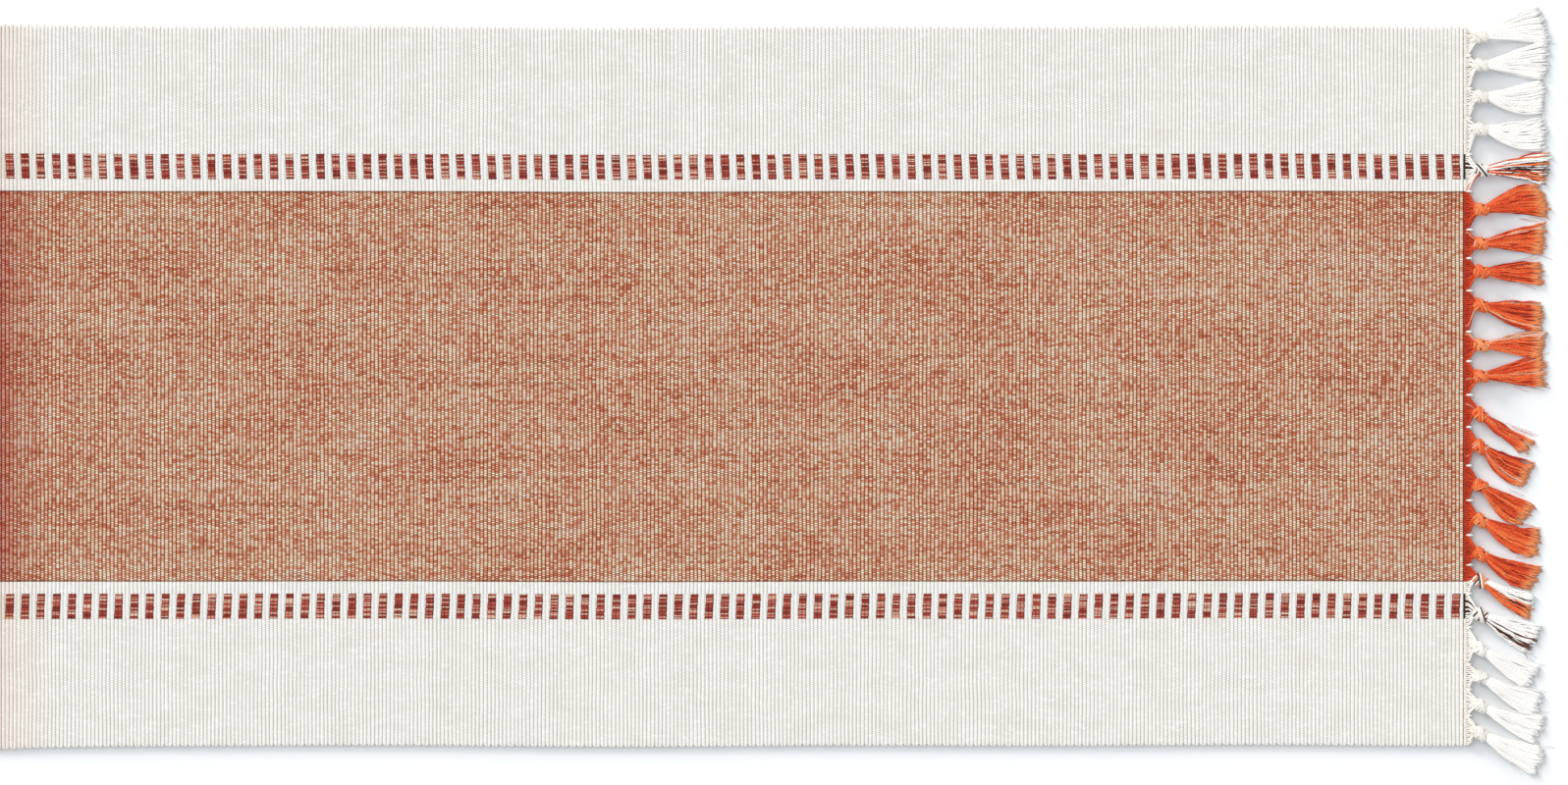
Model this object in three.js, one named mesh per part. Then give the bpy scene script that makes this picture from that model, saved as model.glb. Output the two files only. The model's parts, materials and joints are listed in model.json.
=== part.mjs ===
// Runner rug: a flat-woven cotton runner with a knotted fringe along both short ends.
// Millimetres, +Z up. The rug lies flat, length along X, width along Y, underside on Z = 0,
// and the origin is the middle of the underside.
//
// Seven stripes of warp yarn run the whole length side by side: a white border, a dash band and
// a narrow white line on each long side, and one coloured field between them. The cloth folds
// across its middle, so every stripe is one piece on each side of that fold. Past each woven end
// the yarns are gathered into short webs, and each web ends in a throat where a tassel, a knot
// with a free tail, swings flat on the floor.

import * as THREE from 'three';

// ---- Cloth ----
const CLOTH_LENGTH = 2440; // woven end to woven end, without the fringe
const CLOTH_THICKNESS = 3;
const BORDER_WIDTH = 106;
const DASH_BAND_WIDTH = 21;
const WHITE_LINE_WIDTH = 10;
const FIELD_WIDTH = 326;
const STRIPE_GAP = 0.3; // between neighbouring stripes
const FOLD_GAP = 0.3; // between the two halves, at the fold across the middle

// ---- Gathered webs between the woven end and the tassels ----
const WEB_LENGTH = 8; // woven end to the throat that a tassel swings about
const THROAT_WIDTH = 5;
const THROAT_CLEARANCE = 0.6; // between a web's tip and the tassel that turns in front of it

// ---- Tassels ----
const NECK_WIDTH = 4.8;
const KNOT_START = 2.5; // throat to the knot
const KNOT_LENGTH = 13;
const KNOT_WIDTH = 11.6;
const KNOT_HEIGHT = 10;
const WAIST_WIDTH = 7;
const WAIST_HEIGHT = 6;
const TAIL_LENGTH = 45.5;
const TAIL_WIDTH = 13;
const TAIL_HEIGHT = 5.4;
const RING_SIDES = 8;

// The tassels of one end, from the far side (+Y) to the near side (-Y) of the right end, in groups.
// The tassels of a group share out the yarns of its stripes between them.
// web: the stripe that the tassel's web is an extension of.
// gather: its share of the group's width.
// lean: how far its throat lies towards +Y from the middle of that share, mm.
// sweep: the angle at which it lies, degrees, positive towards +Y.
const FRINGE = [
  {
    stripes: ['far_border'],
    tassels: [
      { web: 'far_border', gather: 23.5, lean: 2.5, sweep: 10 },
      { web: 'far_border', gather: 27.5, lean: 5, sweep: 4 },
      { web: 'far_border', gather: 25, lean: 5.5, sweep: 0 },
      { web: 'far_border', gather: 30, lean: 6, sweep: -4 },
    ],
  },
  {
    stripes: ['far_dash_band', 'far_white_line'],
    tassels: [{ web: 'far_dash_band', gather: 31, lean: 2, sweep: 0 }],
  },
  {
    stripes: ['field', 'near_white_line'],
    tassels: [
      { web: 'field', gather: 32, lean: 0, sweep: 8 },
      { web: 'field', gather: 24, lean: 0, sweep: 3 },
      { web: 'field', gather: 27, lean: 2.5, sweep: -2 },
      { web: 'field', gather: 34, lean: 6, sweep: -12 },
      { web: 'field', gather: 25, lean: 1, sweep: 0 },
      { web: 'field', gather: 28, lean: 1, sweep: 5 },
      { web: 'field', gather: 27, lean: 1, sweep: -34 },
      { web: 'field', gather: 32, lean: 3, sweep: -31 },
      { web: 'field', gather: 29, lean: 1, sweep: -32 },
      { web: 'field', gather: 29, lean: 0.5, sweep: -24 },
      { web: 'field', gather: 25, lean: -1, sweep: -24 },
      { web: 'field', gather: 24, lean: 2, sweep: -28 },
    ],
  },
  {
    stripes: ['near_dash_band', 'near_border'],
    tassels: [
      { web: 'near_dash_band', gather: 28, lean: -1, sweep: -24 },
      { web: 'near_border', gather: 31, lean: 0.5, sweep: -29 },
      { web: 'near_border', gather: 21, lean: 3, sweep: -27 },
      { web: 'near_border', gather: 22, lean: 0, sweep: -23 },
      { web: 'near_border', gather: 25, lean: 0.5, sweep: -25 },
    ],
  },
];

// ---- Yarn colours ----
function yarn(name, color) {
  return new THREE.MeshStandardMaterial({ name, color, roughness: 0.92, metalness: 0 });
}

const YARNS = {
  white: () => yarn('white_cotton', 0xece9e3),
  dash: () => yarn('rust_and_white_cotton', 0xb5533c),
  field: () => yarn('salmon_cotton', 0xc49179),
  orange: () => yarn('orange_cotton', 0xdf5a2c),
  mixed: () => yarn('mixed_cotton', 0xd8a48c),
};

// ---- Layout across the width ----
const STRIPES = [
  { name: 'far_border', width: BORDER_WIDTH, yarns: 'white' },
  { name: 'far_dash_band', width: DASH_BAND_WIDTH, yarns: 'dash' },
  { name: 'far_white_line', width: WHITE_LINE_WIDTH, yarns: 'white' },
  { name: 'field', width: FIELD_WIDTH, yarns: 'field' },
  { name: 'near_white_line', width: WHITE_LINE_WIDTH, yarns: 'white' },
  { name: 'near_dash_band', width: DASH_BAND_WIDTH, yarns: 'dash' },
  { name: 'near_border', width: BORDER_WIDTH, yarns: 'white' },
];

function total(values) {
  return values.reduce((sum, value) => sum + value, 0);
}

const CLOTH_WIDTH = total(STRIPES.map((stripe) => stripe.width));
const WOVEN_END = CLOTH_LENGTH / 2;

// Gives each item its high and low Y, one after another towards the near edge.
function layAcross(items, start, widthOf) {
  let high = start;
  return items.map((item) => {
    const low = high - widthOf(item);
    const placed = { ...item, high, low };
    high = low;
    return placed;
  });
}

const stripes = layAcross(STRIPES, CLOTH_WIDTH / 2, (stripe) => stripe.width);

function stripeNamed(name) {
  return stripes.find((stripe) => stripe.name === name);
}

// A group's tassels, each with the Y range that it gathers and the Y of its throat.
function layTassels(group) {
  const { high } = stripeNamed(group.stripes[0]);
  const { low } = stripeNamed(group.stripes.at(-1));
  const scale = (high - low) / total(group.tassels.map((tassel) => tassel.gather));
  const placed = layAcross(group.tassels, high, (tassel) => tassel.gather * scale);
  return placed.map((tassel) => ({
    ...tassel,
    throat: (tassel.high + tassel.low) / 2 + tassel.lean * scale,
  }));
}

const tassels = FRINGE.flatMap(layTassels);

function yarnsAt(y) {
  return stripes.find((stripe) => y <= stripe.high && y > stripe.low).yarns;
}

// ---- Cloth pieces ----
// The web in front of one stripe: it narrows from the yarns that it gathers to the throat.
function webPoints(tassel, high, low) {
  const tipX = WOVEN_END + WEB_LENGTH - NECK_WIDTH / 2 - THROAT_CLEARANCE;
  return [
    [WOVEN_END, Math.min(tassel.high, high)],
    [tipX, tassel.throat + THROAT_WIDTH / 2],
    [tipX, tassel.throat - THROAT_WIDTH / 2],
    [WOVEN_END, Math.max(tassel.low, low)],
  ];
}

// One stripe's right half: a long strip with its webs along the woven end.
function stripeHalf(stripe) {
  const high = stripe.high - STRIPE_GAP / 2;
  const low = stripe.low + STRIPE_GAP / 2;
  const own = tassels.filter((tassel) => tassel.web === stripe.name);
  const corners = [
    [FOLD_GAP / 2, low],
    [FOLD_GAP / 2, high],
    [WOVEN_END, high],
    ...own.flatMap((tassel) => webPoints(tassel, high, low)),
    [WOVEN_END, low],
  ];
  const outline = corners.filter(([x, y], i) => {
    const [lastX, lastY] = corners.at(i - 1);
    return Math.hypot(x - lastX, y - lastY) > 0.01;
  });
  const shape = new THREE.Shape(outline.map(([x, y]) => new THREE.Vector2(x, y)));
  return new THREE.ExtrudeGeometry(shape, { depth: CLOTH_THICKNESS, bevelEnabled: false });
}

// ---- Tassels ----
// Rings of the knot and tail along the tassel's own X, from the throat: place, width, height.
function tasselRings() {
  const knotEnd = KNOT_START + KNOT_LENGTH;
  const tip = knotEnd + TAIL_LENGTH;
  const knotTaper = KNOT_LENGTH * 0.2;
  return [
    [0, NECK_WIDTH, CLOTH_THICKNESS],
    [KNOT_START, KNOT_WIDTH * 0.82, KNOT_HEIGHT * 0.82],
    [KNOT_START + knotTaper, KNOT_WIDTH, KNOT_HEIGHT],
    [knotEnd - knotTaper, KNOT_WIDTH, KNOT_HEIGHT],
    [knotEnd, WAIST_WIDTH, WAIST_HEIGHT],
    [knotEnd + TAIL_LENGTH * 0.4, (WAIST_WIDTH + TAIL_WIDTH) / 2, WAIST_HEIGHT],
    [tip, TAIL_WIDTH, TAIL_HEIGHT],
  ];
}

// A closed solid through oval rings that all rest on Z = 0.
function solidThroughRings(rings) {
  const points = [];
  const faces = [];
  for (const [x, width, height] of rings) {
    for (let side = 0; side < RING_SIDES; side += 1) {
      const turn = ((side + 0.5) / RING_SIDES) * 2 * Math.PI;
      const reach = 1 / Math.cos(Math.PI / RING_SIDES);
      const y = (width / 2) * reach * Math.cos(turn);
      const z = (height / 2) * (1 + reach * Math.sin(turn));
      points.push(x, y, z);
    }
  }
  for (let ring = 0; ring < rings.length - 1; ring += 1) {
    for (let side = 0; side < RING_SIDES; side += 1) {
      const a = ring * RING_SIDES + side;
      const b = ring * RING_SIDES + ((side + 1) % RING_SIDES);
      faces.push(a, b, b + RING_SIDES, a, b + RING_SIDES, a + RING_SIDES);
    }
  }
  const last = (rings.length - 1) * RING_SIDES;
  for (let side = 1; side < RING_SIDES - 1; side += 1) {
    faces.push(0, side + 1, side);
    faces.push(last, last + side, last + side + 1);
  }
  const geometry = new THREE.BufferGeometry();
  geometry.setAttribute('position', new THREE.Float32BufferAttribute(points, 3));
  geometry.setIndex(faces);
  geometry.computeVertexNormals();
  return geometry;
}

// Which yarns a tassel is tied from: the stripe in front of it, or both where it takes two.
function tasselYarns(tassel) {
  const inset = 3;
  const first = yarnsAt(tassel.high - inset);
  const second = yarnsAt(tassel.low + inset);
  if (first === second) return first === 'field' ? 'orange' : first;
  return 'mixed';
}

// ---- Assembly ----
// One half of the rug with its fringe on the +X side. stripeName and tasselName turn a stripe's
// name and a tassel's number into the names that they have on that half.
function rugHalf(stripeName, tasselName) {
  const half = new THREE.Group();
  for (const stripe of stripes) {
    const mesh = new THREE.Mesh(stripeHalf(stripe), YARNS[stripe.yarns]());
    mesh.name = stripeName(stripe.name);
    half.add(mesh);
  }
  tassels.forEach((tassel, index) => {
    const mesh = new THREE.Mesh(solidThroughRings(tasselRings()), YARNS[tasselYarns(tassel)]());
    mesh.name = tasselName(index + 1);
    mesh.position.set(WOVEN_END + WEB_LENGTH, tassel.throat, 0);
    mesh.rotation.z = THREE.MathUtils.degToRad(tassel.sweep);
    half.add(mesh);
  });
  return half;
}

// The left half is the right half turned half a turn, so far and near change places on it.
function turnedName(name) {
  if (name.startsWith('far')) return name.replace('far', 'near');
  return name.replace('near', 'far');
}

function numbered(number) {
  return String(number).padStart(2, '0');
}

const rightHalf = rugHalf(
  (name) => `${name}_right`,
  (number) => `tassel_right_${numbered(number)}`,
);
const leftHalf = rugHalf(
  (name) => `${turnedName(name)}_left`,
  (number) => `tassel_left_${numbered(tassels.length + 1 - number)}`,
);
leftHalf.rotation.z = Math.PI;

const rug = new THREE.Group();
rug.name = 'runner_rug';
rug.add(rightHalf, leftHalf);

export default rug;
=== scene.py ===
"""A long flat-woven cotton runner rug with a coloured ribbed field and a knotted fringe on both ends.

The cloth is woven in ribs that run across the rug.  Seven groups of warp yarn lie side by side:
a white border, a dashed band and a narrow white line on each side of the salmon field.  The warp
ends are gathered past the last rib, knotted, and left as loose tails.
"""

import json
import logging
import math
from dataclasses import dataclass, field
from enum import Enum
from typing import Iterable, Optional

import bpy
import numpy as np
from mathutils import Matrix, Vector

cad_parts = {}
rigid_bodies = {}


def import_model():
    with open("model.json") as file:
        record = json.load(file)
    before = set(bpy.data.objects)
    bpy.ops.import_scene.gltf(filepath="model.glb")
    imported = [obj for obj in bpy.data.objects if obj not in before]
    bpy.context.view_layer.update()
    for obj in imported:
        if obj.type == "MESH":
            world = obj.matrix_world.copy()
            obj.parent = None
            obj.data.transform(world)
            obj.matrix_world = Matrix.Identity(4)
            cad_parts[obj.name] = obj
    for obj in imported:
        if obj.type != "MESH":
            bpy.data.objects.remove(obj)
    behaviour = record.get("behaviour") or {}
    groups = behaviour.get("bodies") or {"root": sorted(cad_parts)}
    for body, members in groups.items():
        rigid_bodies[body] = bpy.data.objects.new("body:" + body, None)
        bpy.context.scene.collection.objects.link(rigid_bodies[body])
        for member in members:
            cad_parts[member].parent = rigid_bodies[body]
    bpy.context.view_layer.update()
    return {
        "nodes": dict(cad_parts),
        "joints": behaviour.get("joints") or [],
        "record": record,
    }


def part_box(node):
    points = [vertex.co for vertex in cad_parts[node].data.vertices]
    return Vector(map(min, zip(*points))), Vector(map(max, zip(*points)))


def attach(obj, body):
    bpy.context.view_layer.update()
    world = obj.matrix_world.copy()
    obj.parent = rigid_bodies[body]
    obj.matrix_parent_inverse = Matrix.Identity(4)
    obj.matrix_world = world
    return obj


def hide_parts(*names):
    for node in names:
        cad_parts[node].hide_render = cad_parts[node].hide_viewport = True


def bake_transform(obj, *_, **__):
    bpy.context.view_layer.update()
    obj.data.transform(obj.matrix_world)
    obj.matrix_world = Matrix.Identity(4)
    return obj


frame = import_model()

MM = 0.001
FIELD_EDGE, LINE_EDGE, BAND_EDGE, SELVEDGE = 0.163, 0.173, 0.194, 0.298
Colour = tuple[float, float, float]
Stops = tuple[tuple[float, Colour], ...]
log = logging.getLogger("runner")


class End(Enum):
    """The two ends of the rug, with the way each points along X."""

    RIGHT = 1
    LEFT = -1

    def half(self) -> str:
        """The body that the cloth on this side of the fold belongs to."""
        return f"{self.name.lower()}_half"


class Yarn(Enum):
    """The yarns of the fringe, in the order of a tassel's material slots."""

    WHITE = 0
    ORANGE = 1
    DARK = 2
    SALMON = 3


class TailShape(Enum):
    """How a tail spreads from its knot."""

    FAN = 1.15
    SHEAF = 1.75


class Mingle(Enum):
    """How a tassel that takes warp ends of more than one colour shows them."""

    PLAIN = "plain"
    MIXED = "mixed"
    PARTED = "parted"
    STREAKED = "streaked"


class Weave(Enum):
    """The four kinds of warp group."""

    BORDER = "border"
    DASH = "dash_band"
    LINE = "white_line"
    FIELD = "field"


# Node helpers


class Value:
    """A number that shader nodes work out, so that a finish can be written as plain sums."""

    def __init__(self, bench: "NodeBench", socket: bpy.types.NodeSocket) -> None:
        """Wraps a node's output."""
        self.bench = bench
        self.socket = socket

    def __add__(self, other: "Value | float") -> "Value":
        """This and another together."""
        return self.bench.math("ADD", self, other)

    def __sub__(self, other: "Value | float") -> "Value":
        """This less another."""
        return self.bench.math("SUBTRACT", self, other)

    def __rsub__(self, other: float) -> "Value":
        """A plain number less this."""
        return self.bench.math("SUBTRACT", other, self)

    def __mul__(self, other: "Value | float") -> "Value":
        """This times another."""
        return self.bench.math("MULTIPLY", self, other)

    def __truediv__(self, other: float) -> "Value":
        """This divided by a plain number."""
        return self.bench.math("DIVIDE", self, other)

    def __mod__(self, other: float) -> "Value":
        """How far this is into a step of a plain number."""
        return self.bench.math("FLOORED_MODULO", self, other)

    def __abs__(self) -> "Value":
        """This without its sign."""
        return self.bench.math("ABSOLUTE", self)

    def floor(self) -> "Value":
        """The whole number below this."""
        return self.bench.math("FLOOR", self)

    def off_middle(self) -> "Value":
        """How far this is from the middle of its whole step, from 0 to a half."""
        return abs(self.bench.math("FRACT", self) - 0.5)

    def over(self, other: "Value") -> "Value":
        """The greater of this and another."""
        return self.bench.math("MAXIMUM", self, other)

    def held(self) -> "Value":
        """The same sum, held between 0 and 1."""
        self.socket.node.use_clamp = True
        return self

    def span(self, low: float, high: float, to_low: float = 0.0, to_high: float = 1.0) -> "Value":
        """Maps this from one range to another, smoothly and held at both ends.

        Args:
            low: Start of its range.
            high: End of its range.
            to_low: Result at the start.
            to_high: Result at the end.

        Returns:
            The mapped value.
        """
        ends = {"From Min": low, "From Max": high, "To Min": to_low, "To Max": to_high}
        return self.bench.node("MapRange", {"Value": self, **ends}, "Result", interpolation_type="SMOOTHSTEP")


class NodeBench:
    """Builds one material's node tree."""

    def __init__(self, name: str, roughness: float, sheen: float, sheen_roughness: float = 0.5) -> None:
        """Starts a material with a soft cloth shader.

        Args:
            name: The material's name.
            roughness: The yarn's surface roughness.
            sheen: How much light the loose fibres catch at a low angle.
            sheen_roughness: How widely that light spreads.
        """
        self.material = bpy.data.materials.new(name)
        self.material.use_nodes = True
        self.tree = self.material.node_tree
        self.tree.nodes.clear()
        output = self.tree.nodes.new("ShaderNodeOutputMaterial")
        self.shader = self.tree.nodes.new("ShaderNodeBsdfPrincipled")
        self.shader.inputs["Roughness"].default_value = roughness
        self.shader.inputs["Specular IOR Level"].default_value = 0.25
        self.shader.inputs["Sheen Weight"].default_value = sheen
        self.shader.inputs["Sheen Roughness"].default_value = sheen_roughness
        self.tree.links.new(self.shader.outputs["BSDF"], output.inputs["Surface"])

    def put(self, target: bpy.types.NodeSocket, value: "Value | Colour | float") -> None:
        """Gives an input its value.

        Args:
            target: The input.
            value: What to link to it, or a plain colour or number to set on it.
        """
        if isinstance(value, Value):
            self.tree.links.new(value.socket, target)
        else:
            target.default_value = (*value, 1.0) if isinstance(value, tuple) else value

    def node(self, kind: str, inputs: dict, output: str | int = 0, **settings: object) -> Value:
        """Adds a node.

        Args:
            kind: Its type, without the start that all types share.
            inputs: Values for its inputs, by name or number.
            output: The output that is wanted.
            settings: Its own settings.

        Returns:
            That output's value.
        """
        node = self.tree.nodes.new(f"ShaderNode{kind}")
        for key, setting in settings.items():
            setattr(node, key, setting)
        for key, value in inputs.items():
            self.put(node.inputs[key], value)
        return Value(self, node.outputs[output])

    def math(self, operation: str, *values: Value | float) -> Value:
        """One Math node."""
        return self.node("Math", dict(enumerate(values)), operation=operation)

    def vector(self, *parts: Value | float) -> Value:
        """A vector from two or three values."""
        return self.node("CombineXYZ", dict(enumerate(parts)))

    def attribute(self, name: str) -> list[Value]:
        """The three parts of a vector attribute stored on the mesh."""
        split = self.node("SeparateXYZ", {0: self.node("Attribute", {}, "Vector", attribute_name=name)})
        return [Value(self, part) for part in split.socket.node.outputs]

    def noise(self, where: Value | tuple, scale: float, detail: float = 2.0, rough: float = 0.5) -> Value:
        """Soft noise from 0 to 1.

        Args:
            where: The vector that it follows, or its parts.
            scale: Features per unit.
            detail: Octaves.
            rough: Strength of the finer octaves.

        Returns:
            The noise.
        """
        place = self.vector(*where) if isinstance(where, tuple) else where
        inputs = {"Vector": place, "Scale": scale, "Detail": detail, "Roughness": rough}
        return self.node("TexNoise", inputs, "Fac")

    def grain(self, *parts: Value | float) -> Value:
        """A different random number for every whole cell of a vector."""
        return self.node("TexWhiteNoise", {"Vector": self.vector(*parts)}, "Value", noise_dimensions="3D")

    def ramp(self, value: Value, stops: Stops) -> Value:
        """A colour ramp.

        Args:
            value: Where on the ramp, from 0 to 1.
            stops: Places and colours.

        Returns:
            The colour.
        """
        colour = self.node("ValToRGB", {"Fac": value}, "Color")
        elements = colour.socket.node.color_ramp.elements
        while len(elements) < len(stops):
            elements.new(1.0)
        for element, (at, tint) in zip(elements, stops):
            element.position = at
            element.color = (*tint, 1.0)
        return colour

    def mix(self, share: Value, first: Value | Colour, second: Value | Colour, how: str = "MIX") -> Value:
        """Mixes two colours.

        Args:
            share: How much of the second, from 0 to 1.
            first: A colour or value.
            second: A colour or value.
            how: The blending mode.

        Returns:
            The colour.
        """
        return self.node("Mix", {0: share, 6: first, 7: second}, 2, data_type="RGBA", blend_type=how)

    def finish(
        self, colour: Value, height: Optional[Value] = None, distance: float = 0.0
    ) -> bpy.types.Material:
        """Sends a colour, and a height if there is one, to the shader.

        Args:
            colour: The base colour.
            height: How far the surface rises, from 0 to 1.
            distance: What a height of 1 stands for, in metres.

        Returns:
            The finished material.
        """
        self.put(self.shader.inputs["Base Color"], colour)
        if height is not None:
            raised = {"Strength": 1.0, "Distance": distance, "Height": height}
            self.put(self.shader.inputs["Normal"], self.node("Bump", raised, "Normal"))
        return self.material


# Cloth finishes.  Each reads the "weave" attribute: ribs counted from the middle fold, place
# across the rug in yarns, and the face (+1 upper, -1 under).


@dataclass(frozen=True)
class Laid:
    """Where a point of the cloth is in the weave."""

    rib: Value
    across: Value
    face: Value
    count: Value
    yarn: Value
    off: Value
    valley: Value
    bead: Value
    cell: Value
    dust: Value


@dataclass(frozen=True)
class RibbedCloth:
    """What every woven finish shares: ribs, yarn crossings, fibre fuzz and painted shade along the middle fold.
    """

    name: str = "ribbed cotton"
    roughness: float = 0.86
    sheen: float = 0.10
    groove: float = 0.22
    relief: float = 0.26 * MM
    fuzz: float = 0.35
    bead_start: float = 0.18
    # Painted shade along the middle fold: the ribs it is strong over, the ribs it fades out by, and its tint.
    fold_shade_ribs: float = 5.5
    fold_shade_fade_ribs: float = 14.0
    fold_shade_tint: Colour = (0.97, 0.91, 0.87)

    def lay(self, bench: NodeBench) -> Laid:
        """Works out the places that the finishes colour.

        Args:
            bench: The material being made.

        Returns:
            Where each point is in the weave.
        """
        rib, across, face = bench.attribute("weave")
        off, count = rib.off_middle(), rib.floor()
        lane = across + count % 2.0 * 0.5 + bench.noise((rib, across), 0.9) * 0.5
        yarn = lane.floor()
        valley = off.span(0.5 - self.groove, 0.5)
        bead = lane.off_middle().span(self.bead_start, 0.5, 1.0, 0.0)
        cell = bench.grain(count, yarn, face)
        dust = bench.noise((rib * 1.7, across, face), 2.6, 3.0, 0.6)
        return Laid(rib, across, face, count, yarn, off, valley, bead, cell, dust)

    def dye(self, bench: NodeBench, laid: Laid) -> Value:
        """The colour of the cloth away from the fold."""
        raise NotImplementedError

    def make(self) -> bpy.types.Material:
        """The material of one kind of warp group.

        Returns:
            The finished material.
        """
        bench = NodeBench(self.name, self.roughness, self.sheen)
        laid = self.lay(bench)
        away = abs(laid.rib)
        # Painted shade: near the middle fold the colour is multiplied by the fold tint, strongest at the fold
        # and gone by about fourteen ribs.
        fold_shade_core = away.span(0.5, self.fold_shade_ribs, 0.95, 0.42)
        fold_shade = fold_shade_core * away.span(self.fold_shade_ribs, self.fold_shade_fade_ribs, 1.0, 0.0)
        colour = bench.mix(fold_shade, self.dye(bench, laid), self.fold_shade_tint, "MULTIPLY")
        height = laid.bead * (1.0 - laid.valley) + laid.dust * self.fuzz
        return bench.finish(colour, height, self.relief)


@dataclass(frozen=True)
class WhiteCloth(RibbedCloth):
    """Warm white cotton in ribs, with painted grey-beige shade in the grooves and between the yarns."""

    name: str = "white cotton ribs"
    crown: Colour = (0.95, 0.92, 0.875)
    shade: Colour = (0.54, 0.49, 0.43)
    speck: Colour = (0.97, 0.95, 0.91)
    valley_share: float = 0.82
    gap_share: float = 0.22
    soil_share: float = 0.10

    def dye(self, bench: NodeBench, laid: Laid) -> Value:
        """The colour of the borders and the narrow lines.

        Args:
            bench: The material being made.
            laid: Where each point is in the weave.

        Returns:
            The colour.
        """
        # Painted shade: the crown colour is mixed toward the shade colour in the rib grooves and in the gaps
        # between yarns; the soil noise adds random darker patches.
        gap = (1.0 - laid.bead) * self.gap_share
        soil = bench.noise((laid.rib, laid.across), 0.11, 3.0).span(0.35, 0.75) * self.soil_share
        shaded = (laid.valley * self.valley_share + gap + soil).held()
        base = bench.mix(shaded, self.crown, self.shade)
        return bench.mix(laid.cell.span(0.80, 1.0, 0.0, 0.5), base, self.speck)


@dataclass(frozen=True)
class FieldCloth(RibbedCloth):
    """Salmon, terracotta, cream and red-brown cotton mixed along the field's ribs, with painted shade in the
    grooves and between the beads, and a painted highlight on each bead.
    """

    name: str = "salmon field ribs"
    roughness: float = 0.84
    sheen: float = 0.06
    groove: float = 0.232
    relief: float = 0.45 * MM
    fold_shade_tint: Colour = (0.78, 0.45, 0.44)
    glint: Colour = (1.0, 0.81, 0.58)
    last_ribs: tuple[float, float] = (373.6, 374.4)
    rim_yarns: tuple[float, float] = (86.1, 86.8)
    bundle_yarns: float = 8.6
    gap_share: float = 0.64
    bundle_share: float = 0.36
    dyes: Stops = (
        (0.00, (0.56, 0.100, 0.040)), (0.26, (0.74, 0.215, 0.100)), (0.50, (0.86, 0.385, 0.230)),
        (0.72, (0.92, 0.51, 0.335)), (0.88, (0.96, 0.70, 0.51)), (1.00, (0.98, 0.84, 0.68)),
    )
    depths: Stops = ((0.0, (0.060, 0.013, 0.006)), (1.0, (0.17, 0.060, 0.027)))

    def dye(self, bench: NodeBench, laid: Laid) -> Value:
        """The colour of the centre field.

        Args:
            bench: The material being made.
            laid: Where each point is in the weave.

        Returns:
            The colour.
        """
        rib, across, bead = laid.rib, laid.across, laid.bead
        own = bench.grain(laid.yarn, 3.0, laid.count % 2.0)
        along = bench.noise((rib * 0.16, across * 0.8), 1.0, 3.0, 0.65)
        cloud = bench.noise((rib * 0.03, across * 0.03), 1.0, 3.0)
        mixed = along * 0.60 + own * 0.14 + laid.cell * 0.34 + cloud * 0.34
        tone = (mixed + abs(rib).span(*self.last_ribs, 0.0, 0.10)).span(0.30, 1.02)
        # Painted highlight: the glint colour is mixed onto the middle of each bead on the rib crown, more on
        # some cells.
        shine = laid.off.span(0.02, 0.30, 1.0, 0.0) * bead * laid.cell.span(0.10, 0.85, 0.04, 0.96)
        dyed = bench.mix(shine, bench.ramp(tone, self.dyes), self.glint)
        # Painted shade: the colour is mixed toward the dark depths ramp in the rib grooves, in the gaps between
        # beads and along the bundle rows; the rim darkens a line along the field's outermost yarns.
        bend = bench.noise((rib * 0.012, across * 0.03), 1.0) * 3.0
        bundle = (across * (1.0 / self.bundle_yarns) + bend).off_middle().span(0.36, 0.5)
        bundle *= bench.noise((rib * 0.06, across * 0.2), 1.0, 1.0).span(0.40, 0.58)
        gap = (1.0 - bead) * (bundle * self.bundle_share + self.gap_share)
        line = bead.span(0.25, 0.75, 1.0, 0.0) * (bundle * 0.85)
        rim = abs(across).span(*self.rim_yarns, 0.0, 0.75)
        deep = laid.valley.over(gap).over(line).over(rim)
        return bench.mix(deep, dyed, bench.ramp(tone, self.depths))


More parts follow.
